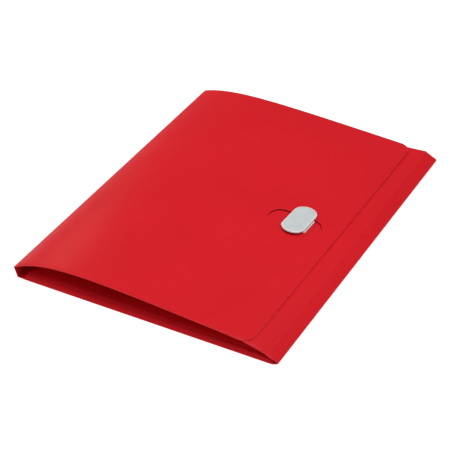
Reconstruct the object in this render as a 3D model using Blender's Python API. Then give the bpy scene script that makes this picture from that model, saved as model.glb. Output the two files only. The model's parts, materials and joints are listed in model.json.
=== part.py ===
"""Three-flap document folder lying closed on its back, with a small moulded clip closure.

One die-cut polypropylene blank is scored into panels: back, spine, cover, and a wall and a flap on
each of the other three sides. The cover carries a tongue with the clip, whose stud drops through the
side flap. The panels turn about their score lines, so every panel is its own solid, and it stops
short of the line that it turns about. Sizes are in millimetres, measured from the score line between
the spine and the back panel (x) and from the foot end (y), and SHIFT moves them to the part's frame.
"""

import math

import bmesh
import bpy
from mathutils import Matrix, Vector

MM = 0.001
SHIFT = Vector((116.046, 160.0, 0.0))  # centre of the footprint
LENGTH = 320.0                         # spine length of the 24 x 32 cm format
SHEET = 0.8                            # thickness of the blank
HALF = SHEET / 2
WEB = 0.85                             # score line to the edge of a panel
TIGHT_WEB = 1.45                       # the same, where the fold is sharper than a right angle
FOOT_WEB = 1.7                         # the same, at the foot, where the wall leans in most
END = 0.6                              # spine and side panels stop short of the cover's ends

# score lines along y, as (x, z) of the middle of the sheet; the side flap's climbs towards the head
SPINE_LINE = (0.4, 0.4)
COVER_LINE = (-2.6, 9.5)
SIDE_WALL_LINE = (235.9, 2.9)
SIDE_FLAP_X = 224.3
SIDE_FLAP_Z = (7.6, 8.9)

# walls and flaps at the foot and the head: score lines along x, as (y, z) at each side
WALL_LEFT, WALL_RIGHT = 6.9, 231.0
FLAP_LEFT, FLAP_RIGHT = 7.6, 228.4
FOOT_WALL_LINE = ((0.4, 0.4), (0.4, 0.4))
FOOT_FLAP_LINE = ((4.3, 4.3), (4.9, 3.6))
HEAD_WALL_LINE = ((319.6, 0.4), (319.6, 0.4))
HEAD_FLAP_LINE = ((315.2, 6.5), (315.2, 6.5))

# cover: bulges over the contents, more at the foot end than at the head end
COVER_EDGE = 211.4
COVER_CORNER = 11.5
EDGE_SETTLE = 0.5                      # the free edge sinks towards the side flap at the foot end
BULGE_LENGTH = 32.0
BULGE_FOOT, BULGE_HEAD = 21.1, 13.7
FALL_FOOT, FALL_HEAD = 0.0813, 0.0651

# back panel: flat, curling up to the side wall
CURL_START = 229.5

# side flap: rises under the cover, more at the foot end
SIDE_FLAP_EDGE = 140.0
SIDE_RISE_LENGTH = 17.5
SIDE_RISE_FOOT, SIDE_RISE_HEAD = 7.2, -1.35
SIDE_DIP = 1.15                        # the clip holds the flap down here
SIDE_TAPER_START = 207.0
SIDE_TAPER_DEPTH = 24.0

# foot and head flaps
FLAP_DEPTH = 60.0
FLAP_CORNER = 6.0
FLAP_RISE_LENGTH = 8.0
FOOT_RISE = (4.0, 4.2)
HEAD_RISE = (3.0, 0.0)

# tongue cut out of the cover, hinged along its foot-side edge
TONGUE_X = 172.5
TONGUE_ROOT = 142.0
TONGUE_WIDTH = 46.2
TONGUE_REACH = 26.7
TONGUE_CORNER = 10.0
TONGUE_DROP = math.radians(2.6)        # hangs below the cover's surface
SLIT = 0.4

# clip, in the tongue's own frame: x along the root, y along the tongue, z up from mid-sheet
CLIP_X, CLIP_Y = 2.8, 18.0
FINGER_LENGTH, FINGER_WIDTH = 42.0, 20.4
FINGER_Z = (2.2, 3.9)
BASE_SIZE, BASE_Y = (22.4, 20.4), 15.3
BASE_Z = (0.7, 1.9)
BACKING_SIZE = (19.0, 18.4)
BACKING_Z = (-1.5, -0.7)
RIVET_OFFSET = 7.6
RIVET_SHANK, RIVET_HEAD = 1.3, 2.2
HEAD_DEPTH = 0.6
GAP = 0.3
STUD_RADIUS, STUD_NECK = 4.0, 3.1
STUD_Z = (-5.3, -1.8)
STUD_HOLE = 5.2

# keeper under the side flap
KEEPER_AT = (175.3, 160.0)
KEEPER_SIZE = (32.0, 16.0)
KEEPER_THICK = 1.4
KEEPER_RIVET_OFFSET = 10.8

RED = (0.63, 0.022, 0.028, 1.0)
GREY = (0.565, 0.604, 0.617, 1.0)


def clear():
    for obj in list(bpy.data.objects):
        bpy.data.objects.remove(obj, do_unlink=True)


def material(name, colour, roughness):
    mat = bpy.data.materials.new(name)
    mat.use_nodes = True
    shader = mat.node_tree.nodes["Principled BSDF"]
    shader.inputs["Base Color"].default_value = colour
    shader.inputs["Roughness"].default_value = roughness
    return mat


def finish(name, mesh_build, origin, mat):
    """Turns a bmesh in millimetres into an object whose origin is at the given point."""
    start = Vector(origin) - SHIFT
    for vert in mesh_build.verts:
        vert.co = (vert.co - SHIFT - start) * MM
    bmesh.ops.recalc_face_normals(mesh_build, faces=mesh_build.faces)
    mesh = bpy.data.meshes.new(name)
    mesh_build.to_mesh(mesh)
    mesh_build.free()
    mesh.shade_smooth()
    mesh.set_sharp_from_angle(angle=math.radians(35))
    mesh.materials.append(mat)
    obj = bpy.data.objects.new(name, mesh)
    obj.location = start * MM
    bpy.context.scene.collection.objects.link(obj)
    return obj


def smooth_step(t):
    t = min(max(t, 0.0), 1.0)
    return t * t * (3 - 2 * t)


def spread(low, high, count):
    return [low + (high - low) * i / count for i in range(count + 1)]


def normal_of(surface, u, v):
    step = 0.01
    along = surface(u + step, v) - surface(u - step, v)
    across = surface(u, v + step) - surface(u, v - step)
    return along.cross(across).normalized()


def sheet_mesh(surface, columns, rows):
    """A closed sheet around surface(u, v). Each column is (u, lowest v, highest v)."""
    build = bmesh.new()
    layers = []
    for side in (HALF, -HALF):
        grid = []
        for u, low, high in columns:
            line = []
            for v in spread(low, high, rows):
                point = surface(u, v) + normal_of(surface, u, v) * side
                line.append(build.verts.new(point))
            grid.append(line)
        layers.append(grid)
    top, bottom = layers
    last = len(columns) - 1
    for i in range(last):
        for j in range(rows):
            for grid in layers:
                corners = [grid[i][j], grid[i + 1][j], grid[i + 1][j + 1], grid[i][j + 1]]
                build.faces.new(corners[:3])
                build.faces.new([corners[0], corners[2], corners[3]])
        for j in (0, rows):
            build.faces.new([top[i][j], top[i + 1][j], bottom[i + 1][j], bottom[i][j]])
    for i in (0, last):
        for j in range(rows):
            build.faces.new([top[i][j], top[i][j + 1], bottom[i][j + 1], bottom[i][j]])
    return build


def prism_mesh(outline, low, high):
    """A straight prism on a plan outline, between two heights."""
    build = bmesh.new()
    bottom = [build.verts.new((x, y, low)) for x, y in outline]
    top = [build.verts.new((x, y, high)) for x, y in outline]
    count = len(outline)
    for i in range(count):
        k = (i + 1) % count
        build.faces.new([bottom[i], bottom[k], top[k], top[i]])
    build.faces.new(top)
    build.faces.new(bottom[::-1])
    return build


def turned_mesh(profile, centre, segments=32):
    """A solid of revolution about a vertical axis: profile is (radius, z) from bottom to top."""
    build = bmesh.new()
    rings = []
    for radius, z in profile:
        ring = []
        for i in range(segments):
            turn = 2 * math.pi * i / segments
            x = centre[0] + radius * math.cos(turn)
            y = centre[1] + radius * math.sin(turn)
            ring.append(build.verts.new((x, y, z)))
        rings.append(ring)
    for lower, upper in zip(rings, rings[1:]):
        for i in range(segments):
            k = (i + 1) % segments
            build.faces.new([lower[i], lower[k], upper[k], upper[i]])
    build.faces.new(rings[0][::-1])
    build.faces.new(rings[-1])
    return build


def rounded_outline(centre, size, radii, steps=7):
    """A rectangle with its own corner radius at each corner, counter-clockwise from (-x, -y)."""
    signs = ((-1, -1), (1, -1), (1, 1), (-1, 1))
    points = []
    for index, ((sx, sy), radius) in enumerate(zip(signs, radii)):
        x = centre[0] + sx * (size[0] / 2 - radius)
        y = centre[1] + sy * (size[1] / 2 - radius)
        if radius == 0:
            points.append((x, y))
            continue
        start = math.pi + index * math.pi / 2
        for turn in spread(start, start + math.pi / 2, steps):
            points.append((x + radius * math.cos(turn), y + radius * math.sin(turn)))
    return points


def bevel_rim(build, height, width, segments=3):
    """Rounds the edge loop that lies at one height."""
    rim = [e for e in build.edges if all(abs(v.co.z - height) < 1e-4 for v in e.verts)]
    bmesh.ops.bevel(
        build, geom=rim, offset=width, segments=segments, profile=0.5, affect="EDGES"
    )


def cut(obj, cutter_builds, place=None):
    """Subtracts solids, given in millimetres, from an object."""
    for number, build in enumerate(cutter_builds):
        if place is not None:
            build.transform(place)
        cutter = finish(obj.name + "_cutter_" + str(number), build, SHIFT, obj.data.materials[0])
        cutter.hide_render = True
        cutter.display_type = "WIRE"
        modifier = obj.modifiers.new("cut_" + str(number), "BOOLEAN")
        modifier.operation = "DIFFERENCE"
        modifier.solver = "EXACT"
        modifier.object = cutter


def cover_height(x, y):
    """Height of the middle of the cover sheet."""
    along = x - COVER_LINE[0]
    part = y / LENGTH
    bulge = BULGE_FOOT + (BULGE_HEAD - BULGE_FOOT) * part
    fall = FALL_FOOT + (FALL_HEAD - FALL_FOOT) * part
    settled = EDGE_SETTLE * (1 - part) * smooth_step((x - 190.0) / 20.0)
    return COVER_LINE[1] + bulge * (1 - math.exp(-along / BULGE_LENGTH)) - fall * along - settled


def side_flap_height(x, y):
    """Height of the middle of the side flap."""
    rise = SIDE_RISE_FOOT + (SIDE_RISE_HEAD - SIDE_RISE_FOOT) * y / LENGTH
    along = SIDE_FLAP_X - x
    across, away = (x - KEEPER_AT[0]) / 24.0, (y - KEEPER_AT[1]) / 40.0
    dip = SIDE_DIP * math.exp(-across * across - away * away)
    return side_line(y).z + rise * (1 - math.exp(-along / SIDE_RISE_LENGTH)) - dip


def rise_at(x, rises):
    return rises[1] + (rises[0] - rises[1]) * smooth_step((135.0 - x) / 75.0)


def side_line(y):
    """The side flap's score line at y."""
    return Vector((SIDE_FLAP_X, y, SIDE_FLAP_Z[0] + (SIDE_FLAP_Z[1] - SIDE_FLAP_Z[0]) * y / LENGTH))


def end_line(line, x):
    """A score line of the foot or the head at x."""
    part = (x - FLAP_LEFT) / (FLAP_RIGHT - FLAP_LEFT)
    (y0, z0), (y1, z1) = line
    return Vector((x, y0 + (y1 - y0) * part, z0 + (z1 - z0) * part))


def panel_between(start, end, offset_start, offset_end):
    """Two points on the straight line from start to end, moved inwards by the given offsets."""
    a, b = Vector(start), Vector(end)
    along = (b - a).normalized()
    return a + along * offset_start, b - along * offset_end


def latch_frame():
    """The tongue's frame: origin on the middle of its root, x along the root, z out of the sheet."""
    x, y = TONGUE_X, TONGUE_ROOT
    step = 5.0
    along_x = Vector((2 * step, 0, cover_height(x + step, y) - cover_height(x - step, y)))
    along_y = Vector((0, 2 * step, cover_height(x, y + step) - cover_height(x, y - step)))
    axis_x = along_x.normalized()
    axis_z = axis_x.cross(along_y).normalized()
    axis_y = axis_z.cross(axis_x)
    turned = Matrix((axis_x, axis_y, axis_z)).transposed().to_4x4()
    place = Matrix.Translation((x, y, cover_height(x, y)))
    return place @ turned @ Matrix.Rotation(-TONGUE_DROP, 4, "X")


def back_panel(red):
    def surface(x, y):
        curl = max(0.0, (x - CURL_START) / (SIDE_WALL_LINE[0] - CURL_START))
        return Vector((x, y, SPINE_LINE[1] + (SIDE_WALL_LINE[1] - SPINE_LINE[1]) * curl**2))

    low, high = FOOT_WALL_LINE[0][0] + FOOT_WEB, HEAD_WALL_LINE[0][0] - TIGHT_WEB
    stations = [SPINE_LINE[0] + WEB, 60.0, 120.0, 180.0]
    stations += spread(CURL_START, SIDE_WALL_LINE[0] - TIGHT_WEB * 0.9, 6)
    columns = [(x, low, high) for x in stations]
    build = sheet_mesh(surface, columns, 2)
    return finish("back_panel", build, (0.4, 0, 0.4), red)


def spine_panel(red):
    a, b = panel_between(SPINE_LINE, COVER_LINE, WEB, WEB)

    def surface(y, t):
        return Vector((a.x + (b.x - a.x) * t, y, a.y + (b.y - a.y) * t))

    columns = [(y, 0.0, 1.0) for y in spread(END, LENGTH - END, 4)]
    build = sheet_mesh(surface, columns, 2)
    return finish("spine_panel", build, (SPINE_LINE[0], 0, SPINE_LINE[1]), red)


def front_cover(red, latch):
    def surface(x, y):
        return Vector((x, y, cover_height(x, y)))

    stations = [COVER_LINE[0] + WEB * 0.9, 2.0, 6.0, 10.0, 15.0, 20.0, 26.0, 33.0, 42.0, 54.0]
    stations += [68.0, 85.0, 105.0, 130.0, 160.0, 185.0]
    columns = [(x, 0.0, LENGTH) for x in stations]
    corner_start = COVER_EDGE - COVER_CORNER
    for turn in spread(0.0, math.pi / 2, 7):
        x = corner_start + COVER_CORNER * math.sin(turn)
        inset = COVER_CORNER * (1 - math.cos(turn))
        columns.append((x, inset, LENGTH - inset))
    build = sheet_mesh(surface, columns, 8)
    cover = finish("front_cover", build, (COVER_LINE[0], 0, COVER_LINE[1]), red)
    size = (TONGUE_WIDTH + 2 * SLIT, TONGUE_REACH + SLIT + WEB)
    centre = (0.0, (TONGUE_REACH + SLIT - WEB) / 2)
    radius = TONGUE_CORNER + SLIT
    outline = rounded_outline(centre, size, (0, 0, radius, radius))
    cut(cover, [prism_mesh(outline, -6.0, 6.0)], latch)
    return cover


def side_wall(red):
    def surface(y, t):
        a = Vector((SIDE_WALL_LINE[0], y, SIDE_WALL_LINE[1]))
        b = side_line(y)
        along = (b - a).normalized()
        start, end = a + along * TIGHT_WEB, b - along * WEB
        return start + (end - start) * t

    columns = [(y, 0.0, 1.0) for y in spread(END, LENGTH - END, 4)]
    build = sheet_mesh(surface, columns, 2)
    return finish("side_wall", build, (SIDE_WALL_LINE[0], 0, SIDE_WALL_LINE[1]), red)


def keeper_frame():
    """Frame on the middle of the side flap above the keeper, z out of the flap."""
    x, y = KEEPER_AT
    step = 8.0
    along = Vector((2 * step, 0, side_flap_height(x + step, y) - side_flap_height(x - step, y)))
    across = Vector((0, 2 * step, side_flap_height(x, y + step) - side_flap_height(x, y - step)))
    axis_x = along.normalized()
    axis_z = axis_x.cross(across).normalized()
    axis_y = axis_z.cross(axis_x)
    turned = Matrix((axis_x, axis_y, axis_z)).transposed().to_4x4()
    return Matrix.Translation((x, y, side_flap_height(x, y))) @ turned


def side_flap(red, keeper):
    def surface(x, y):
        return Vector((x, y, side_flap_height(x, y)))

    stations = [SIDE_FLAP_EDGE, 150.0, 165.0, 180.0, 190.0, 198.0, SIDE_TAPER_START]
    stations += [211.0, 214.0, 217.0, 219.5, 221.7, SIDE_FLAP_X - WEB]
    columns = []
    for x in stations:
        taper = max(0.0, (SIDE_TAPER_START - x) / (SIDE_TAPER_START - SIDE_FLAP_EDGE))
        inset = END + SIDE_TAPER_DEPTH * taper
        columns.append((x, inset, LENGTH - inset))
    build = sheet_mesh(surface, columns, 10)
    flap = finish("side_flap", build, side_line(0), red)
    holes = [turned_mesh(((STUD_HOLE, -3.0), (STUD_HOLE, 3.0)), (0, 0), 40)]
    for side in (-1, 1):
        centre = (side * KEEPER_RIVET_OFFSET, 0)
        radius = RIVET_SHANK + GAP
        holes.append(turned_mesh(((radius, -3.0), (radius, 3.0)), centre, 20))
    cut(flap, holes, keeper)
    return flap


def end_wall(name, lower, upper, lower_web, red):
    """Foot or head wall: a strip that leans in over the back panel."""

    def surface(t, part):
        left = WALL_LEFT + (FLAP_LEFT - WALL_LEFT) * t
        right = WALL_RIGHT + (FLAP_RIGHT - WALL_RIGHT) * t
        x = left + (right - left) * part
        a, b = end_line(lower, x), end_line(upper, x)
        along = (b - a).normalized()
        start, end = a + along * lower_web, b - along * WEB
        return start + (end - start) * t

    columns = [(t, 0.0, 1.0) for t in spread(0.0, 1.0, 2)]
    build = sheet_mesh(surface, columns, 8)
    return finish(name, build, end_line(lower, 0), red)


def end_flap(name, line, inward, rises, red):
    """Foot or head flap: lies over the contents, its ends tapered, its free corners rounded."""

    def surface(depth, part):
        left = FLAP_LEFT + depth
        right = FLAP_RIGHT - depth
        over = FLAP_DEPTH - FLAP_CORNER
        if depth > over:
            bite = depth - over
            inset = FLAP_CORNER - math.sqrt(max(0.0, FLAP_CORNER**2 - bite**2))
            left += inset
            right -= inset
        x = left + (right - left) * part
        rise = rise_at(x, rises) * (1 - math.exp(-depth / FLAP_RISE_LENGTH))
        return end_line(line, x) + Vector((0, inward * depth, rise))

    depths = [WEB, 3.0, 6.0, 10.0, 15.0, 21.0, 29.0, 40.0, FLAP_DEPTH - FLAP_CORNER]
    depths += [FLAP_DEPTH - FLAP_CORNER + FLAP_CORNER * f for f in (0.3, 0.55, 0.75, 0.88, 0.94)]
    columns = [(depth, 0.0, 1.0) for depth in depths]
    build = sheet_mesh(surface, columns, 14)
    return finish(name, build, end_line(line, 0), red)


def rivet(name, place, origin, centre, low, high, heads, grey):
    """A flush rivet: a shank with a wide head at its lower end or its upper end."""
    profile = [(RIVET_SHANK, low)]
    if "low" in heads:
        profile = [
            (RIVET_HEAD - 0.25, low),
            (RIVET_HEAD, low + 0.2),
            (RIVET_HEAD, low + HEAD_DEPTH),
            (RIVET_SHANK, low + HEAD_DEPTH),
        ]
    if "high" in heads:
        profile += [
            (RIVET_SHANK, high - HEAD_DEPTH),
            (RIVET_HEAD, high - HEAD_DEPTH),
            (RIVET_HEAD, high - 0.2),
            (RIVET_HEAD - 0.25, high),
        ]
    else:
        profile += [(RIVET_SHANK, high - 0.2), (RIVET_SHANK - 0.2, high)]
    build = turned_mesh(profile, centre, 24)
    build.transform(place)
    return finish(name, build, origin, grey)


def seats(centres, face, depth, upwards):
    """Cutters that sink the heads of rivets into one face."""
    radius = RIVET_HEAD + GAP
    cutters = []
    for centre in centres:
        ends = (face - depth, face + 1.0) if upwards else (face - 1.0, face + depth)
        cutters.append(turned_mesh(((radius, ends[0]), (radius, ends[1])), centre, 24))
    return cutters


def shanks(centres, low, high):
    radius = RIVET_SHANK + GAP
    return [turned_mesh(((radius, low), (radius, high)), centre, 24) for centre in centres]


def latch_parts(red, grey, latch):
    """The tongue and what is riveted to it."""
    origin = latch.translation
    centres = [(CLIP_X + side * RIVET_OFFSET, BASE_Y) for side in (-1, 1)]

    size = (TONGUE_WIDTH, TONGUE_REACH - WEB)
    centre = (0.0, (TONGUE_REACH + WEB) / 2)
    outline = rounded_outline(centre, size, (0, 0, TONGUE_CORNER, TONGUE_CORNER))
    build = prism_mesh(outline, -HALF, HALF)
    build.transform(latch)
    tongue = finish("latch_tongue", build, origin, red)
    cut(tongue, shanks(centres, -2.0, 2.0), latch)

    outline = rounded_outline((CLIP_X, BASE_Y), BASE_SIZE, (1.0,) * 4, 3)
    build = prism_mesh(outline, *BASE_Z)
    build.transform(latch)
    base = finish("base_plate", build, origin, grey)
    base_cutters = shanks(centres, BASE_Z[0] - 1, BASE_Z[1] + 1)
    cut(base, base_cutters + seats(centres, BASE_Z[1], HEAD_DEPTH + GAP, True), latch)

    outline = rounded_outline((CLIP_X, BASE_Y), BACKING_SIZE, (3.0,) * 4, 5)
    build = prism_mesh(outline, *BACKING_Z)
    build.transform(latch)
    backing = finish("backing_plate", build, origin, grey)
    cut(backing, shanks(centres, BACKING_Z[0] - 1, BACKING_Z[1] + 1), latch)

    radius = FINGER_WIDTH / 2
    outline = rounded_outline(
        (CLIP_X, CLIP_Y), (FINGER_WIDTH, FINGER_LENGTH), (radius - 0.01,) * 4, 12
    )
    build = prism_mesh(outline, *FINGER_Z)
    bevel_rim(build, FINGER_Z[1], 0.6)
    bevel_rim(build, FINGER_Z[0], 0.3, 2)
    build.transform(latch)
    finish("finger_plate", build, origin, grey)

    for name, centre in zip(("rivet_left", "rivet_right"), centres):
        rivet(name, latch, origin, centre, BACKING_Z[0], BASE_Z[1] - 0.02, ("high",), grey)

    profile = (
        (STUD_RADIUS - 0.8, STUD_Z[0]),
        (STUD_RADIUS, STUD_Z[0] + 0.7),
        (STUD_RADIUS, STUD_Z[0] + 1.3),
        (STUD_NECK, STUD_Z[0] + 2.0),
        (STUD_NECK, STUD_Z[1] - 0.5),
        (STUD_NECK + 1.2, STUD_Z[1] - 0.3),
        (STUD_NECK + 1.2, STUD_Z[1]),
    )
    build = turned_mesh(profile, (CLIP_X, CLIP_Y), 32)
    build.transform(latch)
    finish("latch_stud", build, origin, grey)


def keeper_parts(grey, keeper):
    """The ring that the stud drops into, riveted under the side flap."""
    origin = side_line(0)
    centres = [(side * KEEPER_RIVET_OFFSET, 0.0) for side in (-1, 1)]
    top = -HALF - GAP
    bottom = top - KEEPER_THICK
    outline = rounded_outline((0, 0), KEEPER_SIZE, (KEEPER_SIZE[1] / 2 - 0.01,) * 4, 8)
    build = prism_mesh(outline, bottom, top)
    build.transform(keeper)
    ring = finish("keeper_ring", build, origin, grey)
    hole = turned_mesh(((STUD_HOLE, bottom - 1), (STUD_HOLE, top + 1)), (0, 0), 40)
    sunk = seats(centres, bottom, HEAD_DEPTH + GAP, False)
    cut(ring, [hole] + shanks(centres, bottom - 1, top + 1) + sunk, keeper)
    for name, centre in zip(("keeper_rivet_left", "keeper_rivet_right"), centres):
        rivet(name, keeper, origin, centre, bottom + 0.02, HALF, ("low",), grey)


def build_folder():
    clear()
    red = material("red_sheet", RED, 0.42)
    grey = material("grey_clip", GREY, 0.45)
    latch = latch_frame()
    keeper = keeper_frame()
    back_panel(red)
    spine_panel(red)
    front_cover(red, latch)
    side_wall(red)
    side_flap(red, keeper)
    end_wall("foot_wall", FOOT_WALL_LINE, FOOT_FLAP_LINE, FOOT_WEB, red)
    end_flap("foot_flap", FOOT_FLAP_LINE, 1, FOOT_RISE, red)
    end_wall("head_wall", HEAD_WALL_LINE, HEAD_FLAP_LINE, TIGHT_WEB, red)
    end_flap("head_flap", HEAD_FLAP_LINE, -1, HEAD_RISE, red)
    latch_parts(red, grey, latch)
    keeper_parts(grey, keeper)


build_folder()
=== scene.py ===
"""Looks of the three-flap document folder: red polypropylene sheet, living hinges, moulded clip.

Sizes are in millimetres in the folder's own plan: x from the score line at the spine's foot,
y from the foot end, z up from the table. SHIFT carries that plan into the row frame.
"""

import json
import math

import bmesh
import bpy
from mathutils import Matrix, Vector
from mathutils.geometry import delaunay_2d_cdt


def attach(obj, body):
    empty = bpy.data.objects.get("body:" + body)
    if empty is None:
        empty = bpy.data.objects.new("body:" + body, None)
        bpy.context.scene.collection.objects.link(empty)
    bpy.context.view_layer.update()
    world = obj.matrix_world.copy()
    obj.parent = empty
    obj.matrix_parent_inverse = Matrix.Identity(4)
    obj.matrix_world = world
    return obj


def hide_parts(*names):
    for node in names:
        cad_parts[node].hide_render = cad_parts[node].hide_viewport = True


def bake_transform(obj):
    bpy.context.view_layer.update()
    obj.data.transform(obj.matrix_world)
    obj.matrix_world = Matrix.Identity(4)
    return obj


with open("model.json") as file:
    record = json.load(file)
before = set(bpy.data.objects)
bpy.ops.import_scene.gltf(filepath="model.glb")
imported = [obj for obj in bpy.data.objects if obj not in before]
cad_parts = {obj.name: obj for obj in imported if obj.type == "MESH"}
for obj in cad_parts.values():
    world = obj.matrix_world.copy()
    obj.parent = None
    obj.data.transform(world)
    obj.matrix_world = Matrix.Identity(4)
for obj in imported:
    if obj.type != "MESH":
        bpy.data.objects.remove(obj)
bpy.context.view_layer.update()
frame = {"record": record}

MM = 0.001
SHIFT = Vector((116.046, 160.0, 0.0))
LENGTH = 320.0
HALF = 0.4                  # half the thickness of the sheet
RIM = 0.22                  # rounding of the sheet's cut edges
WEB, TIGHT_WEB, FOOT_WEB = 0.85, 1.45, 1.7  # from a score line to the edge of its panel
END = 0.6

BULGE_LENGTH = 32.0
BULGE_FOOT, BULGE_HEAD = 21.1, 13.7
FALL_FOOT, FALL_HEAD = 0.0813, 0.0651
COVER_EDGE, COVER_CORNER = 211.4, 11.5
EDGE_SETTLE = 0.5           # the cover's free edge sinks towards the side flap
EDGE_REST = 0.26            # and rests on it, where the solids keep their running gap
SETTLE_START, SETTLE_LENGTH = 190.0, 20.0
CURL_START = 229.5          # the back panel curls up towards the side wall from here
SIDE_FLAP_EDGE, SIDE_RISE_LENGTH, SIDE_DIP = 140.0, 17.5, 1.15
SIDE_RISE_FOOT, SIDE_RISE_HEAD = 7.2, -1.35
SIDE_TAPER_START, SIDE_TAPER_DEPTH, SIDE_FLAP_CORNER = 207.0, 24.0, 7.0
SIDE_SCORE, SIDE_SCORE_DEPTH = 8.0, 0.03   # a second score line on the side flap
DIP_ACROSS, DIP_ALONG = 24.0, 40.0  # reach of the dip around the keeper ring
WALL_LEFT, WALL_RIGHT = 6.9, 231.0
FLAP_LEFT, FLAP_RIGHT = 7.6, 228.4
FLAP_DEPTH, FLAP_CORNER, FLAP_RISE_LENGTH = 60.0, 6.0, 8.0
FOOT_RISE = (4.0, 4.2)      # at the spine's side and at the opening side
HEAD_RISE = (3.0, 0.0)
RISE_TURN, RISE_TURN_LENGTH = 135.0, 75.0  # where one rise passes into the other
FOOT_BOW = 0.6              # the foot wall is pressed in and bows outwards
END_SCORES, END_SCORE_DEPTH = (5.5, 9.5), 0.08

TONGUE_X, TONGUE_WIDTH, TONGUE_REACH, TONGUE_CORNER = 172.5, 46.2, 26.7, 10.0
TONGUE_DROP = math.radians(2.6)
SLIT, SHUT_SLIT = 0.4, 0.03  # the slit is nearly shut beside the tongue's root
SLIT_START, SLIT_WIDENING = 9.0, 7.0    # from the root, where it starts to widen and for how long
FLUSH_REACH = 5.5           # the tongue is flush with the cover up to here
BEND_START, BEND_LENGTH = 7.0, 15.0
CLIP_X, CLIP_Y, BASE_Y = 2.8, 18.0, 15.3
FINGER = (20.4, 42.0, 2.2, 3.9)
BASE = (22.4, 20.4, 0.7, 1.9)
BACKING = (19.0, 18.4, -1.5, -0.7)
RIVET_OFFSET, RIVET_SHANK, RIVET_HEAD, HEAD_DEPTH = 7.6, 1.3, 2.2, 0.6
GAP = 0.3
STUD_RADIUS, STUD_NECK, STUD_LOW, STUD_HIGH = 4.0, 3.1, -5.3, -1.8
STUD_HOLE = 5.2
KEEPER_AT = (175.3, 160.0)
KEEPER_SIZE, KEEPER_THICK, KEEPER_RIVET_OFFSET = (32.0, 16.0), 1.4, 10.8


def line_of(joint, axis):
    """A joint's axis in the folder's plan: gives the point on it at x (axis 0) or y (axis 1)."""
    for entry in frame["record"]["behaviour"]["joints"]:
        if entry["name"] == joint:
            point = Vector(entry["pos_m"]) / MM + SHIFT
            way = Vector(entry["axis"])
            return lambda at: point + way * ((at - point[axis]) / way[axis])
    raise ValueError(joint)


cover_line = line_of("cover_fold", 1)
spine_line = line_of("spine_fold", 1)
side_wall_line = line_of("side_wall_fold", 1)
side_flap_line = line_of("side_flap_fold", 1)
foot_wall_line = line_of("foot_wall_fold", 0)
foot_flap_line = line_of("foot_flap_fold", 0)
head_wall_line = line_of("head_wall_fold", 0)
head_flap_line = line_of("head_flap_fold", 0)
COVER_LINE = cover_line(0.0)
SPINE_LINE = spine_line(0.0)
SIDE_WALL_LINE = side_wall_line(0.0)
SIDE_FLAP_X = side_flap_line(0.0).x
FOOT_Y = foot_wall_line(0.0).y
HEAD_Y = head_wall_line(0.0).y
TONGUE_LINE = line_of("latch_lift", 0)(TONGUE_X)


# ---------------------------------------------------------------- shapes of the panels

def smooth_step(t):
    t = min(max(t, 0.0), 1.0)
    return t * t * (3 - 2 * t)


def spread(low, high, count):
    return [low + (high - low) * i / count for i in range(count + 1)]


def cover_surface(x, y):
    along = x - COVER_LINE.x
    part = y / LENGTH
    bulge = BULGE_FOOT + (BULGE_HEAD - BULGE_FOOT) * part
    fall = FALL_FOOT + (FALL_HEAD - FALL_FOOT) * part
    sink = EDGE_SETTLE * (1 - part) + EDGE_REST * (1 - part**3)
    settled = sink * smooth_step((x - SETTLE_START) / SETTLE_LENGTH)
    height = bulge * (1 - math.exp(-along / BULGE_LENGTH)) - fall * along - settled
    return Vector((x, y, COVER_LINE.z + height))


def side_flap_surface(x, y):
    line = side_flap_line(y)
    rise = SIDE_RISE_FOOT + (SIDE_RISE_HEAD - SIDE_RISE_FOOT) * y / LENGTH
    across, away = (x - KEEPER_AT[0]) / DIP_ACROSS, (y - KEEPER_AT[1]) / DIP_ALONG
    dip = SIDE_DIP * math.exp(-across * across - away * away)
    return Vector((x, y, line.z + rise * (1 - math.exp((x - line.x) / SIDE_RISE_LENGTH)) - dip))


def back_surface(x, y):
    curl = max(0.0, (x - CURL_START) / (SIDE_WALL_LINE.x - CURL_START))
    return Vector((x, y, SPINE_LINE.z + (SIDE_WALL_LINE.z - SPINE_LINE.z) * curl**2))


def strip_surface(lower, upper, bow=0.0):
    """A strip between two score lines: u runs along them, v across from the lower one."""
    length = (upper(LENGTH / 2) - lower(LENGTH / 2)).length

    def surface(u, v):
        start = lower(u)
        across = upper(u) - start
        outwards = Vector((0, -across.z, across.y)).normalized()
        return start + across * (v / length) + outwards * (bow * math.sin(math.pi * v / length))

    return surface, length


def end_flap_surface(line, inward, rises):
    def surface(x, depth):
        rise = rises[1] + (rises[0] - rises[1]) * smooth_step((RISE_TURN - x) / RISE_TURN_LENGTH)
        return line(x) + Vector((0, inward * depth, rise * (1 - math.exp(-depth / FLAP_RISE_LENGTH))))

    return surface


def frame_on(surface, x, y, step, tilt=0.0):
    """Frame on a surface, x kept along the folder's x, z out of the sheet."""
    along = surface(x + step, y) - surface(x - step, y)
    across = surface(x, y + step) - surface(x, y - step)
    axis_x = Vector((along.x, 0, along.z)).normalized()
    axis_z = axis_x.cross(Vector((0, across.y, across.z))).normalized()
    axis_y = axis_z.cross(axis_x)
    turned = Matrix((axis_x, axis_y, axis_z)).transposed().to_4x4()
    return Matrix.Translation(surface(x, y)) @ turned @ Matrix.Rotation(tilt, 4, "X")


def flat_surface(place):
    """The plane z = 0 of a local frame."""
    return lambda u, v: place @ Vector((u, v, 0))


def tongue_surface(u, v):
    """The tongue leaves the cover flush, then bends down."""
    flush = 1 - smooth_step((v - BEND_START) / BEND_LENGTH)
    lift = math.tan(TONGUE_DROP) * min(v, FLUSH_REACH) * flush
    return LATCH @ Vector((u, v, lift))


LATCH = frame_on(cover_surface, TONGUE_LINE.x, TONGUE_LINE.y, 5.0, -TONGUE_DROP)
KEEPER = frame_on(side_flap_surface, *KEEPER_AT, 8.0)


# ---------------------------------------------------------------- mesh makers

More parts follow.
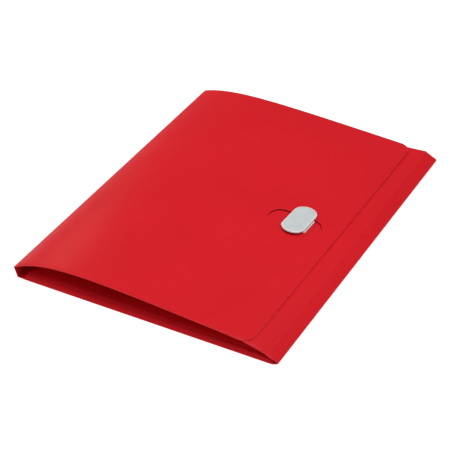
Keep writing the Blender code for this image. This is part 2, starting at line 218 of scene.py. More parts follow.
def normal_of(surface, u, v):
    step = 0.02
    along = surface(u + step, v) - surface(u - step, v)
    across = surface(u, v + step) - surface(u, v - step)
    return along.cross(across).normalized()


def make_object(name, build, mat, body, cad=(), blend=None, sharp=40):
    for vert in build.verts:
        vert.co = (vert.co - SHIFT) * MM
    bmesh.ops.recalc_face_normals(build, faces=build.faces)
    mesh = bpy.data.meshes.new(name)
    build.to_mesh(mesh)
    build.free()
    mesh.shade_smooth()
    mesh.set_sharp_from_angle(angle=math.radians(sharp))
    mesh.materials.append(mat)
    obj = bpy.data.objects.new(name, mesh)
    bpy.context.scene.collection.objects.link(obj)
    if cad:
        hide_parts(*cad)
    if blend:
        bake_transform(obj)
    else:
        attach(obj, body)


def inside(point, loop):
    found = False
    x, y = point
    for (x0, y0), (x1, y1) in zip(loop, loop[1:] + loop[:1]):
        if (y0 > y) != (y1 > y) and x < (x1 - x0) * (y - y0) / (y1 - y0) + x0:
            found = not found
    return found


def nearest(point, loop):
    return min((point[0] - q[0]) ** 2 + (point[1] - q[1]) ** 2 for q in loop) ** 0.5


def left_normals(loop):
    """Unit normals to the left of a loop, towards the material, at each of its points."""
    found = []
    count = len(loop)
    for i in range(count):
        before = Vector(loop[i]) - Vector(loop[i - 1])
        after = Vector(loop[(i + 1) % count]) - Vector(loop[i])
        a = Vector((-before.y, before.x)).normalized()
        b = Vector((-after.y, after.x)).normalized()
        middle = (a + b).normalized()
        found.append(middle / max(0.5, middle.dot(a)))
    return found


def resample(loop, spacing):
    """Adds points so that no side of a closed loop is longer than the spacing."""
    points = []
    for a, b in zip(loop, loop[1:] + loop[:1]):
        length = math.dist(a, b)
        parts = max(1, round(length / spacing))
        for i in range(parts):
            t = i / parts
            points.append((a[0] + (b[0] - a[0]) * t, a[1] + (b[1] - a[1]) * t))
    return points


def plate_mesh(loops, surface, half, us, vs, rim=RIM, steps=3, lower_rim=None):
    """A closed sheet or plate with rounded edges.

    loops are outlines in (u, v): the outer one counter-clockwise, holes clockwise. half is half
    the thickness, or a function of (u, v). rim is the rounding, or a function of (u, v).
    """
    half_of = half if callable(half) else (lambda u, v: half)
    rim_of = rim if callable(rim) else (lambda u, v: rim)
    low_of = rim_of if lower_rim is None else (lambda u, v: lower_rim)
    normals = [left_normals(loop) for loop in loops]

    def inset(ring, k, radius_of):
        found = []
        for (u, v), n in zip(loops[ring], normals[ring]):
            r = radius_of(u, v) * k
            found.append((u + n.x * r, v + n.y * r))
        return found

    def cap(radius_of, sign):
        rings = [inset(k, 1.0, radius_of) for k in range(len(loops))]
        points = [p for ring in rings for p in ring]
        edges = []
        start = 0
        for ring in rings:
            count = len(ring)
            edges += [(start + i, start + (i + 1) % count) for i in range(count)]
            start += count
        margin = 0.35
        for u in us:
            for v in vs:
                p = (u, v)
                if not inside(p, rings[0]) or any(inside(p, hole) for hole in rings[1:]):
                    continue
                if min(nearest(p, ring) for ring in rings) < margin:
                    continue
                points.append(p)
        flat, _, faces, _, _, _ = delaunay_2d_cdt([Vector(p) for p in points], edges, [], 0, 1e-7)
        verts = []
        for p in flat:
            u, v = p.x, p.y
            co = surface(u, v) + normal_of(surface, u, v) * half_of(u, v) * sign
            verts.append(build.verts.new(co))
        for face in faces:
            centre = sum((flat[i] for i in face), Vector((0, 0))) / 3
            p = (centre.x, centre.y)
            if not inside(p, rings[0]) or any(inside(p, hole) for hole in rings[1:]):
                continue
            build.faces.new([verts[i] for i in face])
        return verts

    build = bmesh.new()
    # marks the rounded edges, where the materials paint a highlight
    layer = build.verts.layers.float.new("rim")
    top = cap(rim_of, 1)
    bottom = cap(low_of, -1)
    start = 0
    for index, loop in enumerate(loops):
        count = len(loop)
        lines = [top[start:start + count]]
        for sign, radius_of in ((1, rim_of), (-1, low_of)):
            order = range(1, steps + 1) if sign > 0 else range(steps, 0, -1)
            for k in order:
                turn = math.pi / 2 * k / steps
                ring = inset(index, 1 - math.sin(turn), radius_of)
                line = []
                for (u, v), (u0, v0) in zip(ring, loop):
                    drop = radius_of(u0, v0) * (1 - math.cos(turn))
                    height = (half_of(u, v) - drop) * sign
                    vert = build.verts.new(surface(u, v) + normal_of(surface, u, v) * height)
                    vert[layer] = 1.0
                    line.append(vert)
                lines.append(line)
        lines.append(bottom[start:start + count])
        for upper, lower in zip(lines, lines[1:]):
            for i in range(count):
                k = (i + 1) % count
                build.faces.new([upper[i], lower[i], lower[k], upper[k]])
        start += count
    return build


def ribbon_mesh(surface, us, vs, half_of):
    """A closed strip on a grid, without rounding."""
    build = bmesh.new()
    layer = build.verts.layers.float.new("crease")
    grids = []
    for sign in (1, -1):
        grid = []
        for u in us:
            line = []
            for v in vs:
                half, mark = half_of(u, v)
                vert = build.verts.new(surface(u, v) + normal_of(surface, u, v) * half * sign)
                vert[layer] = mark
                line.append(vert)
            grid.append(line)
        grids.append(grid)
    top, bottom = grids
    m, n = len(us) - 1, len(vs) - 1
    for i in range(m):
        for j in range(n):
            for grid in grids:
                build.faces.new([grid[i][j], grid[i + 1][j], grid[i + 1][j + 1], grid[i][j + 1]])
        for j in (0, n):
            build.faces.new([top[i][j], top[i + 1][j], bottom[i + 1][j], bottom[i][j]])
    for i in (0, m):
        for j in range(n):
            build.faces.new([top[i][j], top[i][j + 1], bottom[i][j + 1], bottom[i][j]])
    return build


def turned_mesh(profile, centre, place, segments=48):
    build = bmesh.new()
    rings = []
    for radius, z in profile:
        ring = []
        for i in range(segments):
            turn = 2 * math.pi * i / segments
            x, y = centre[0] + radius * math.cos(turn), centre[1] + radius * math.sin(turn)
            ring.append(build.verts.new(place @ Vector((x, y, z))))
        rings.append(ring)
    for lower, upper in zip(rings, rings[1:]):
        for i in range(segments):
            k = (i + 1) % segments
            build.faces.new([lower[i], lower[k], upper[k], upper[i]])
    build.faces.new(rings[0][::-1])
    build.faces.new(rings[-1])
    return build


def rounded_outline(centre, size, radii, steps=8):
    signs = ((-1, -1), (1, -1), (1, 1), (-1, 1))
    points = []
    for index, ((sx, sy), radius) in enumerate(zip(signs, radii)):
        x = centre[0] + sx * (size[0] / 2 - radius)
        y = centre[1] + sy * (size[1] / 2 - radius)
        if radius == 0:
            points.append((x, y))
            continue
        start = math.pi + index * math.pi / 2
        for turn in spread(start, start + math.pi / 2, steps):
            points.append((x + radius * math.cos(turn), y + radius * math.sin(turn)))
    return points


def circle(centre, radius, count=36):
    """Clockwise, as a hole."""
    turns = [-2 * math.pi * i / count for i in range(count)]
    return [(centre[0] + radius * math.cos(t), centre[1] + radius * math.sin(t)) for t in turns]


# ---------------------------------------------------------------- materials

def node(tree, kind, **values):
    made = tree.nodes.new(kind)
    for key, value in values.items():
        if key in made.inputs:
            made.inputs[key].default_value = value
        else:
            setattr(made, key, value)
    return made


def noise(tree, coords, scale, detail=2.0, rough=0.5, stretch=None):
    made = node(tree, "ShaderNodeTexNoise", Scale=scale, Detail=detail, Roughness=rough)
    if stretch:
        mapping = node(tree, "ShaderNodeMapping", Scale=stretch)
        tree.links.new(coords, mapping.inputs["Vector"])
        coords = mapping.outputs["Vector"]
    tree.links.new(coords, made.inputs["Vector"])
    return made.outputs["Fac"]


def ranged(tree, value, low, high, to_low, to_high):
    made = node(tree, "ShaderNodeMapRange")
    for socket, number in zip(("From Min", "From Max", "To Min", "To Max"), (low, high, to_low, to_high)):
        made.inputs[socket].default_value = number
    tree.links.new(value, made.inputs["Value"])
    return made.outputs["Result"]


def mixed(tree, factor, first, second):
    made = node(tree, "ShaderNodeMix", data_type="RGBA")
    for value, socket in ((factor, 0), (first, 6), (second, 7)):
        if isinstance(value, bpy.types.NodeSocket):
            tree.links.new(value, made.inputs[socket])
        else:
            made.inputs[socket].default_value = value
    return made.outputs[2]


def bump(tree, height, distance, strength, normal=None):
    made = node(tree, "ShaderNodeBump", Distance=distance, Strength=strength)
    tree.links.new(height, made.inputs["Height"])
    if normal:
        tree.links.new(normal, made.inputs["Normal"])
    return made.outputs["Normal"]


def math_node(tree, operation, first, second):
    made = node(tree, "ShaderNodeMath", operation=operation)
    for value, socket in ((first, 0), (second, 1)):
        if isinstance(value, bpy.types.NodeSocket):
            tree.links.new(value, made.inputs[socket])
        else:
            made.inputs[socket].default_value = value
    return made.outputs[0]


def attribute(tree, name):
    return node(tree, "ShaderNodeAttribute", attribute_name=name).outputs["Fac"]


def start_material(name):
    mat = bpy.data.materials.new(name)
    mat.use_nodes = True
    tree = mat.node_tree
    shader = tree.nodes["Principled BSDF"]
    coords = node(tree, "ShaderNodeTexCoord").outputs["Object"]
    return mat, tree, shader, coords


def red_sheet():
    """Matt-satin polypropylene sheet with a fine sand grain and a little recycled mottling; its rounded
    cut edges get a painted highlight.
    """
    mat, tree, shader, coords = start_material("red_polypropylene")
    cloud = noise(tree, coords, 14.0, 3.0, 0.55)
    clouding = ranged(tree, cloud, 0.3, 0.7, 0.0, 1.0)
    base = mixed(tree, clouding, (0.590, 0.0096, 0.0160, 1), (0.630, 0.0110, 0.0184, 1))
    speck = node(tree, "ShaderNodeTexVoronoi", Scale=420.0)
    tree.links.new(coords, speck.inputs["Vector"])
    dots = ranged(tree, speck.outputs["Distance"], 0.04, 0.13, 1.0, 0.0)
    sparse = ranged(tree, noise(tree, coords, 90.0, 1.0), 0.52, 0.62, 0.0, 0.5)
    base = mixed(tree, math_node(tree, "MULTIPLY", dots, sparse), base, (0.42, 0.012, 0.016, 1))
    # painted highlight: the rounded cut edges are mixed towards a lighter red
    edge_highlight = math_node(tree, "MULTIPLY", attribute(tree, "rim"), 0.45)
    base = mixed(tree, edge_highlight, base, (0.80, 0.05, 0.06, 1))
    fold = math_node(tree, "MULTIPLY", attribute(tree, "crease"), 0.20)
    base = mixed(tree, fold, base, (0.68, 0.04, 0.045, 1))
    tree.links.new(base, shader.inputs["Base Color"])
    scuff = noise(tree, coords, 60.0, 4.0, 0.6, (1.0, 0.25, 1.0))
    tree.links.new(ranged(tree, scuff, 0.25, 0.75, 0.34, 0.42), shader.inputs["Roughness"])
    shader.inputs["Specular IOR Level"].default_value = 0.09
    wave = bump(tree, noise(tree, coords, 22.0, 1.0), 0.0011, 0.35)
    grain = bump(tree, noise(tree, coords, 1500.0, 2.0, 0.6), 0.00004, 0.35, wave)
    tree.links.new(grain, shader.inputs["Normal"])
    return mat


def grey_clip():
    """Moulded light grey plastic with a spark-eroded grain; a painted highlight lightens its rounded rim.
    """
    mat, tree, shader, coords = start_material("grey_moulding")
    cloud = noise(tree, coords, 120.0, 3.0, 0.6)
    clouding = ranged(tree, cloud, 0.3, 0.7, 0.0, 1.0)
    base = mixed(tree, clouding, (0.50, 0.545, 0.55, 1), (0.56, 0.60, 0.605, 1))
    # painted highlight: the rounded rim is mixed towards near-white
    rim = math_node(tree, "MULTIPLY", attribute(tree, "rim"), 0.8)
    base = mixed(tree, rim, base, (0.84, 0.845, 0.83, 1))
    tree.links.new(base, shader.inputs["Base Color"])
    scuff = noise(tree, coords, 300.0, 3.0, 0.6)
    tree.links.new(ranged(tree, scuff, 0.3, 0.7, 0.38, 0.52), shader.inputs["Roughness"])
    shader.inputs["Specular IOR Level"].default_value = 0.45
    grain = bump(tree, noise(tree, coords, 2600.0, 2.0, 0.5), 0.00005, 0.3)
    tree.links.new(grain, shader.inputs["Normal"])
    return mat


RED = red_sheet()
GREY = grey_clip()


# ---------------------------------------------------------------- the sheet's panels

def groove(distance, depth):
    return depth * math.exp(-((distance / 0.28) ** 2))


def soft_rim(is_crease):
    """Rounded cut edges, but nearly none along a score line."""
    return lambda u, v: 0.03 if is_crease(u, v) else RIM


def lines_near(*centres):
    return [c + d for c in centres for d in (-0.8, -0.4, -0.2, 0.0, 0.2, 0.4, 0.8)]


def rectangle(u0, v0, u1, v1):
    return [(u0, v0), (u1, v0), (u1, v1), (u0, v1)]


def back_sheet():
    x0, x1 = SPINE_LINE.x + WEB, SIDE_WALL_LINE.x - TIGHT_WEB * 0.9
    y0, y1 = FOOT_Y + FOOT_WEB, HEAD_Y - TIGHT_WEB

    def on_crease(x, y):
        along_ends = WALL_LEFT < x < WALL_RIGHT and (y < y0 + 0.1 or y > y1 - 0.1)
        inner = END + 0.1 < y < LENGTH - END - 0.1
        return (inner and (x < x0 + 0.1 or x > x1 - 0.1)) or along_ends

    curled, step = x1 - 1.2, 0.1
    foot, head = END, LENGTH - END
    loop = [(x0, foot), (WALL_LEFT - step, foot), (WALL_LEFT, y0), (WALL_RIGHT, y0),
            (WALL_RIGHT + step, foot), (curled, foot), (x1, foot)]
    loop += [(x1, head), (curled, head), (WALL_RIGHT + step, head), (WALL_RIGHT, y1),
             (WALL_LEFT, y1), (WALL_LEFT - step, head), (x0, head)]
    loop = resample(loop, 7.0)
    us = spread(8.0, 224.0, 18) + spread(227.0, x1 - 0.5, 12)
    rows = spread(END, LENGTH - END, round((LENGTH - 2 * END) / 7.0))[1:-1]
    mesh = plate_mesh([loop], back_surface, HALF, us, rows, soft_rim(on_crease))
    make_object("back_sheet", mesh, RED, "back", ["back_panel"])


def long_strip(name, start, end, low, high, body, cad):
    surface, length = strip_surface(start, end)
    loop = resample(rectangle(END, low, LENGTH - END, length - high), 5.0)
    vs = spread(low, length - high, 6)[1:-1]
    rim = soft_rim(lambda y, v: END + 0.1 < y < LENGTH - END - 0.1)
    us = spread(END, LENGTH - END, round((LENGTH - 2 * END) / 5.0))[1:-1]
    mesh = plate_mesh([loop], surface, HALF, us, vs, rim)
    make_object(name, mesh, RED, body, [cad])


def window_loop():
    """The tongue's window in the cover's plan, clockwise."""
    size = (TONGUE_WIDTH + 2 * SLIT, TONGUE_REACH + SLIT + WEB)
    centre = (0.0, (TONGUE_REACH + SLIT - WEB) / 2)
    radius = TONGUE_CORNER + SLIT
    loop = resample(rounded_outline(centre, size, (0, 0, radius, radius), 10), 3.0)
    found = []
    for u, v in reversed(loop):
        closed = (SLIT - SHUT_SLIT) * (1 - smooth_step((v - SLIT_START) / SLIT_WIDENING))
        p = LATCH @ Vector((u - math.copysign(closed, u), v, 0))
        found.append((p.x, p.y))
    return found


def cover_sheet():
    x0 = COVER_LINE.x + WEB * 0.9
    corner = COVER_EDGE - COVER_CORNER
    loop = [(x0, 0.0)]
    for turn in spread(-math.pi / 2, 0.0, 10):
        loop.append((corner + COVER_CORNER * math.cos(turn), COVER_CORNER * (1 + math.sin(turn))))
    for turn in spread(0.0, math.pi / 2, 10):
        loop.append((corner + COVER_CORNER * math.cos(turn),
                     LENGTH - COVER_CORNER * (1 - math.sin(turn))))
    loop.append((x0, LENGTH))
    loop = resample(loop, 5.0)
    hole = window_loop()
    us = [x0 + 0.9 * i * (1 + 0.07 * i) for i in range(1, 14)] + spread(28.0, 208.0, 34)
    rim = soft_rim(lambda x, y: x < x0 + 0.1 and 0.1 < y < LENGTH - 0.1)
    mesh = plate_mesh([loop, hole], cover_surface, HALF, us, spread(5.0, 315.0, 62), rim)
    make_object("cover_sheet", mesh, RED, "cover", ["front_cover"])


def side_flap_sheet():
    x1 = SIDE_FLAP_X - WEB
    inner = END + SIDE_TAPER_DEPTH
    loop = [(SIDE_TAPER_START, END), (x1, END), (x1, LENGTH - END), (SIDE_TAPER_START, LENGTH - END)]
    radius = SIDE_FLAP_CORNER
    for turn in spread(0.0, math.pi / 2, 6):
        loop.append((SIDE_FLAP_EDGE + radius * (1 - math.sin(turn)),
                     LENGTH - inner - radius * (1 - math.cos(turn))))
    for turn in spread(0.0, math.pi / 2, 6):
        loop.append((SIDE_FLAP_EDGE + radius * (1 - math.cos(turn)),
                     inner + radius * (1 - math.sin(turn))))
    loop = resample(loop, 5.0)
    holes = []
    radii = [(0.0, STUD_HOLE)] + [(s * KEEPER_RIVET_OFFSET, RIVET_SHANK + GAP) for s in (-1, 1)]
    for offset, radius in radii:
        ring = []
        for u, v in circle((offset, 0.0), radius):
            p = KEEPER @ Vector((u, v, 0))
            ring.append((p.x, p.y))
        holes.append(ring)
    score = SIDE_FLAP_X - SIDE_SCORE

    def half(x, y):
        return HALF - groove(x - score, SIDE_SCORE_DEPTH)

    us = spread(144.0, 206.0, 12) + spread(208.5, x1 - 0.7, 14) + lines_near(score)
    rim = soft_rim(lambda x, y: x > x1 - 0.1 and END + 0.1 < y < LENGTH - END - 0.1)
    rows = spread(END, LENGTH - END, round((LENGTH - 2 * END) / 5.0))[1:-1]
    mesh = plate_mesh([loop, *holes], side_flap_surface, half, sorted(us), rows, rim)
    make_object("side_flap_sheet", mesh, RED, "side_flap", ["side_flap"])


def end_wall_sheet(name, lower, upper, low, bow, body, cad):
    surface, length = strip_surface(lower, upper, bow)
    high = length - WEB
    count = 56
    loop = [(x, low) for x in spread(WALL_LEFT, WALL_RIGHT, count)]
    loop += [(x, high) for x in spread(FLAP_RIGHT, FLAP_LEFT, count)]

    def on_crease(x, v):
        return v < low + 0.05 or v > high - 0.05

    vs = spread(low, high, 8)[1:-1]
    us = spread(WALL_LEFT, WALL_RIGHT, count)[1:-1]
    mesh = plate_mesh([loop], surface, HALF, us, vs, soft_rim(on_crease))
    make_object(name, mesh, RED, body, [cad])


def end_flap_sheet(name, line, inward, rises, body, cad):
    surface = end_flap_surface(line, inward, rises)
    over = FLAP_DEPTH - FLAP_CORNER
    right = [(FLAP_RIGHT - WEB, WEB), (FLAP_RIGHT - over, over)]
    left = [(FLAP_LEFT + WEB, WEB), (FLAP_LEFT + over, over)]
    for turn in spread(0.0, math.pi / 2 * 0.94, 6)[1:]:
        depth = over + FLAP_CORNER * math.sin(turn)
        bite = FLAP_CORNER * (1 - math.cos(turn))
        right.append((FLAP_RIGHT - depth - bite, depth))
        left.append((FLAP_LEFT + depth + bite, depth))
    loop = resample(right + left[::-1], 4.0)

    def half(x, depth):
        return HALF - sum(groove(depth - s, END_SCORE_DEPTH) for s in END_SCORES)

    vs = spread(1.6, 15.0, 10) + spread(18.0, FLAP_DEPTH - 2.0, 10) + lines_near(*END_SCORES)
    rim = soft_rim(lambda x, depth: depth < WEB + 0.05)
    start, end = FLAP_LEFT + WEB, FLAP_RIGHT - WEB
    us = spread(start, end, round((end - start) / 4.0))[1:-1]
    mesh = plate_mesh([loop], surface, half, us, sorted(vs), rim)
    make_object(name, mesh, RED, body, [cad])


def tongue_sheet():
    size = (TONGUE_WIDTH, TONGUE_REACH - WEB)
    centre = (0.0, (TONGUE_REACH + WEB) / 2)
    loop = rounded_outline(centre, size, (0, 0, TONGUE_CORNER, TONGUE_CORNER), 10)
    holes = [circle((CLIP_X + s * RIVET_OFFSET, BASE_Y), RIVET_SHANK + GAP, 24) for s in (-1, 1)]
    rim = soft_rim(lambda u, v: v < WEB + 0.05)
    us, vs = spread(-20.0, 20.0, 12), spread(2.0, TONGUE_REACH - 1.5, 14)
    mesh = plate_mesh([resample(loop, 2.0), *holes], tongue_surface, HALF, us, vs, rim)
    make_object("tongue_sheet", mesh, RED, "latch", ["latch_tongue"])


# ---------------------------------------------------------------- living hinges

def crease(name, line, edge_a, edge_b, span, bodies, step=8.0, thin=0.10, sharp=0.86):
    """A thin web from panel a to panel b about a line. An edge gives a point and the way across."""
    middle = (span[0] + span[1]) / 2
    a, b = edge_a(middle)[0], edge_b(middle)[0]
    length = (b - a).length
    tuck = 0.35

    def surface(u, v):
        (p, across), (q, away) = edge_a(v), edge_b(v)
        if u <= 0:
            return p + across * u
        if u >= length:
            return q + away * (u - length)
        t = u / length
        corner = line(v)
        first = p + across * (sharp * (corner - p).length)
        second = q - away * (sharp * (corner - q).length)
        k = 1 - t
        return p * k**3 + first * (3 * k * k * t) + second * (3 * k * t * t) + q * t**3

    def half_of(u, v):
        centre = u - length / 2
        fold = math.exp(-((centre / (0.30 * length + 0.1)) ** 2))
        return HALF - 0.025 - thin * fold, fold * thin / 0.10

    us = [-tuck, -tuck / 2] + spread(0.0, length, 12) + [length + tuck / 2, length + tuck]
    count = max(4, round((span[1] - span[0]) / step))
    mesh = ribbon_mesh(surface, us, spread(*span, count), half_of)
    make_object(name, mesh, RED, bodies, blend=(a, b), sharp=60)


def edge_on(surface, place, across):
    """An edge on a panel. place(v) gives the surface's (u, v), across the way over the edge."""

    def edge(v):
        u0, v0 = place(v)
        point = surface(u0, v0)
        ahead = surface(u0 + across[0] * 0.05, v0 + across[1] * 0.05)
        return point, (ahead - point).normalized()

    return edge


def strip_edges(strip, low, high):
    """The two long edges of a strip, both going from the lower line to the upper one."""
    surface, length = strip
    return (edge_on(surface, lambda at: (at, low), (0, 1)),
            edge_on(surface, lambda at: (at, length - high), (0, 1)))


def hinges():
    span = (END, LENGTH - END)
    lower, upper = strip_edges(strip_surface(spine_line, cover_line), WEB, WEB)
    x0 = SPINE_LINE.x + WEB
    crease("spine_crease", spine_line, edge_on(back_surface, lambda y: (x0, y), (-1, 0)), lower,
           span, ("back", "spine"))
    x1 = COVER_LINE.x + WEB * 0.9
    crease("cover_crease", cover_line, upper, edge_on(cover_surface, lambda y: (x1, y), (1, 0)),
           span, ("spine", "cover"))
    lower, upper = strip_edges(strip_surface(side_wall_line, side_flap_line), TIGHT_WEB, WEB)
    x2 = SIDE_WALL_LINE.x - TIGHT_WEB * 0.9
    crease("side_wall_crease", side_wall_line,
           edge_on(back_surface, lambda y: (x2, y), (1, 0)), lower, span, ("back", "side_wall"))
    x3 = SIDE_FLAP_X - WEB
    crease("side_flap_crease", side_flap_line, upper,
           edge_on(side_flap_surface, lambda y: (x3, y), (-1, 0)), span,
           ("side_wall", "side_flap"), 8.0, 0.05, 0.7)
    ends = (("foot", foot_wall_line, foot_flap_line, 1, FOOT_WEB, FOOT_BOW, FOOT_RISE),
            ("head", head_wall_line, head_flap_line, -1, TIGHT_WEB, 0.0, HEAD_RISE))
    for word, low_line, high_line, inward, web, bow, rises in ends:
        lower, upper = strip_edges(strip_surface(low_line, high_line, bow), web, WEB)
        start = low_line(0.0).y + inward * web
        crease(word + "_wall_crease", low_line,
               edge_on(back_surface, lambda x: (x, start), (0, -inward)), lower,
               (WALL_LEFT + 0.1, WALL_RIGHT), ("back", word + "_wall"), 8.0, 0.08,
               1.3 if word == "foot" else 0.86)
        flap = end_flap_surface(high_line, inward, rises)
        crease(word + "_flap_crease", high_line, upper, edge_on(flap, lambda x: (x, WEB), (0, 1)),
               (FLAP_LEFT + WEB, FLAP_RIGHT - WEB), (word + "_wall", word + "_flap"))

    def cover_side(u):
        p = LATCH @ Vector((u, -WEB, 0))
        return p.x, p.y

    reach = TONGUE_WIDTH / 2
    crease("tongue_crease", lambda u: LATCH @ Vector((u, 0, 0)),
           edge_on(cover_surface, cover_side, (0, 1)),
           edge_on(tongue_surface, lambda u: (u, WEB), (0, 1)),
           (-reach, reach), ("cover", "latch"), 3.0, 0.0)


# ---------------------------------------------------------------- the clip

def moulding(name, outline, low, high, cad, rims, holes=(), place=LATCH, body="latch"):
    """A moulded plate between two heights above the middle of the sheet."""
    spacing = 2.5
    surface = flat_surface(place @ Matrix.Translation((0, 0, (low + high) / 2)))
    loop = resample(outline, spacing)
    us = [p[0] for p in loop]
    vs = [p[1] for p in loop]
    nu = max(2, round((max(us) - min(us)) / spacing))
    nv = max(2, round((max(vs) - min(vs)) / spacing))
    mesh = plate_mesh([loop, *holes], surface, (high - low) / 2, spread(min(us), max(us), nu),
                      spread(min(vs), max(vs), nv), rims[0], 4, rims[1])
    make_object(name, mesh, GREY, body, [cad], sharp=50)


def clip():
    rivets = [(CLIP_X + s * RIVET_OFFSET, BASE_Y) for s in (-1, 1)]
    width, length, low, high = FINGER
    outline = rounded_outline((CLIP_X, CLIP_Y), (width, length), (width / 2 - 0.01,) * 4, 14)
    moulding("finger_moulding", outline, low, high, "finger_plate", (0.9, 0.35))
    width, length, low, high = BASE
    outline = rounded_outline((CLIP_X, BASE_Y), (width, length), (0.9,) * 4, 4)
    holes = [circle(c, RIVET_HEAD + GAP, 24) for c in rivets]
    moulding("base_moulding", outline, low, high, "base_plate", (0.3, 0.1), holes)
    width, length, low, high = BACKING
    outline = rounded_outline((CLIP_X, BASE_Y), (width, length), (3.0,) * 4, 6)
    holes = [circle(c, RIVET_SHANK + GAP, 24) for c in rivets]
    moulding("backing_moulding", outline, low, high, "backing_plate", (0.2, 0.2), holes)
    base_top = BASE[3]
    for word, centre in zip(("left", "right"), rivets):
        profile = (
            (RIVET_SHANK - 0.15, BACKING[2]), (RIVET_SHANK, BACKING[2] + 0.15),
            (RIVET_SHANK, base_top - HEAD_DEPTH), (RIVET_HEAD - 0.1, base_top - HEAD_DEPTH),
            (RIVET_HEAD, base_top - HEAD_DEPTH + 0.1), (RIVET_HEAD, base_top - 0.22),
            (RIVET_HEAD - 0.1, base_top - 0.07), (RIVET_HEAD - 0.35, base_top - 0.02),
        )
        mesh = turned_mesh(profile, centre, LATCH, 32)
        make_object("clip_rivet_" + word, mesh, GREY, "latch", ["rivet_" + word])
    profile = [(STUD_RADIUS - 1.4, STUD_LOW)]
    for turn in spread(0.0, math.pi / 2, 5):
        profile.append((STUD_RADIUS - 0.9 * (1 - math.sin(turn)), STUD_LOW + 0.9 * (1 - math.cos(turn))))
    profile += [(STUD_RADIUS, STUD_LOW + 1.3), (STUD_RADIUS - 0.3, STUD_LOW + 1.7),
                (STUD_NECK, STUD_LOW + 2.0), (STUD_NECK, STUD_HIGH - 0.6),
                (STUD_NECK + 0.3, STUD_HIGH - 0.4), (STUD_NECK + 1.2, STUD_HIGH - 0.3),
                (STUD_NECK + 1.2, STUD_HIGH)]
    mesh = turned_mesh(profile, (CLIP_X, CLIP_Y), LATCH)
    make_object("stud_moulding", mesh, GREY, "latch", ["latch_stud"])


def keeper():
    high = -HALF - GAP
    low = high - KEEPER_THICK
    outline = rounded_outline((0, 0), KEEPER_SIZE, (KEEPER_SIZE[1] / 2 - 0.01,) * 4, 10)
    rivets = [(s * KEEPER_RIVET_OFFSET, 0.0) for s in (-1, 1)]
    holes = [circle((0, 0), STUD_HOLE, 40)] + [circle(c, RIVET_HEAD + GAP, 24) for c in rivets]
    moulding("keeper_moulding", outline, low, high, "keeper_ring", (0.25, 0.3), holes,
             KEEPER, "side_flap")
    for word, centre in zip(("left", "right"), rivets):
        profile = (
            (RIVET_HEAD - 0.35, low + 0.02), (RIVET_HEAD - 0.1, low + 0.07), (RIVET_HEAD, low + 0.22),
            (RIVET_HEAD, low + HEAD_DEPTH - 0.1), (RIVET_HEAD - 0.1, low + HEAD_DEPTH),
            (RIVET_SHANK, low + HEAD_DEPTH), (RIVET_SHANK, HALF - 0.2), (RIVET_SHANK - 0.2, HALF),
        )
        mesh = turned_mesh(profile, centre, KEEPER, 32)
        cad = "keeper_rivet_" + word
        make_object("ring_rivet_" + word, mesh, GREY, "side_flap", [cad])


back_sheet()
long_strip("spine_sheet", spine_line, cover_line, WEB, WEB, "spine", "spine_panel")
cover_sheet()
long_strip("side_wall_sheet", side_wall_line, side_flap_line, TIGHT_WEB, WEB, "side_wall", "side_wall")
side_flap_sheet()
end_wall_sheet("foot_wall_sheet", foot_wall_line, foot_flap_line, FOOT_WEB, FOOT_BOW, "foot_wall",
               "foot_wall")
end_flap_sheet("foot_flap_sheet", foot_flap_line, 1, FOOT_RISE, "foot_flap", "foot_flap")
end_wall_sheet("head_wall_sheet", head_wall_line, head_flap_line, TIGHT_WEB, 0.0, "head_wall",
               "head_wall")
end_flap_sheet("head_flap_sheet", head_flap_line, -1, HEAD_RISE, "head_flap", "head_flap")
tongue_sheet()
hinges()
clip()
keeper()


# ---------------------------------------------------------------- floor, light and camera

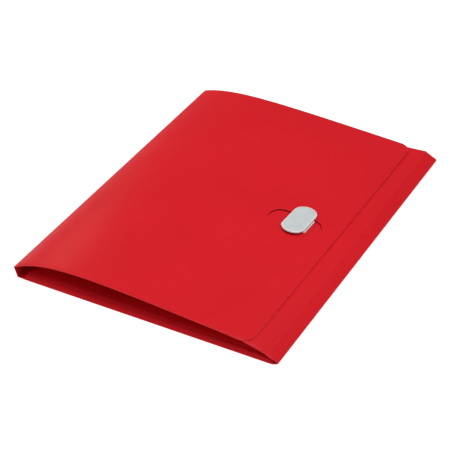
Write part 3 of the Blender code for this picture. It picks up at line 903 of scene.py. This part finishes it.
def floor():
    mesh = bpy.data.meshes.new("floor")
    size = 6.0
    corners = [(-size, -size, 0), (size, -size, 0), (size, size, 0), (-size, size, 0)]
    mesh.from_pydata(corners, [], [(0, 1, 2, 3)])
    mat = bpy.data.materials.new("studio_floor")
    mat.use_nodes = True
    shader = mat.node_tree.nodes["Principled BSDF"]
    shader.inputs["Base Color"].default_value = (0.4, 0.4, 0.4, 1)
    shader.inputs["Roughness"].default_value = 0.9
    shader.inputs["Specular IOR Level"].default_value = 0.1
    shader.inputs["Emission Color"].default_value = (1, 1, 1, 1)
    shader.inputs["Emission Strength"].default_value = 0.90
    mesh.materials.append(mat)
    obj = bpy.data.objects.new("floor", mesh)
    obj.location.z = -0.0002
    bpy.context.scene.collection.objects.link(obj)


def area_light(name, location, target, size, power, colour=(1, 1, 1)):
    """A soft box at a location in metres, aimed at a target."""
    data = bpy.data.lights.new(name, "AREA")
    data.shape = "RECTANGLE"
    data.size, data.size_y = size
    data.energy = power
    data.color = colour
    obj = bpy.data.objects.new(name, data)
    obj.location = location
    obj.rotation_euler = (Vector(target) - Vector(location)).to_track_quat("-Z", "Y").to_euler()
    bpy.context.scene.collection.objects.link(obj)


def studio():
    world = bpy.data.worlds.new("studio")
    world.use_nodes = True
    background = world.node_tree.nodes["Background"]
    background.inputs["Color"].default_value = (1, 1, 1, 1)
    background.inputs["Strength"].default_value = 0.20
    bpy.context.scene.world = world
    area_light("key", (0.09, -0.06, 0.92), (0, -0.05, 0), (1.0, 0.2), 6.0)
    area_light("sheen", (-0.48, 0.285, 0.33), (-0.085, -0.13, 0.02), (0.14, 0.14), 0.24, (1.0, 0.86, 0.64))
    area_light("side", (-0.78, 0.0, 0.65), (-0.06, -0.1, 0.02), (0.5, 0.3), 3.1)
    area_light("edge", (0.85, 0.05, 0.5), (0.08, -0.08, 0.02), (0.5, 0.4), 1.8)
    bpy.context.scene.view_settings.view_transform = "Standard"


def camera():
    azimuth, elevation, distance = math.radians(28.10), math.radians(35.27), 1.2680
    target = Vector((0.00913, -0.0331, 0.0120))
    back = Vector((
        math.sin(azimuth) * math.cos(elevation),
        -math.cos(azimuth) * math.cos(elevation),
        math.sin(elevation),
    ))
    data = bpy.data.cameras.new("camera")
    data.lens = 120.5
    data.sensor_width = 36.0
    obj = bpy.data.objects.new("camera", data)
    obj.location = target + back * distance
    obj.rotation_euler = (math.pi / 2 - elevation, 0, azimuth)
    bpy.context.scene.collection.objects.link(obj)
    bpy.context.scene.camera = obj


floor()
studio()
camera()
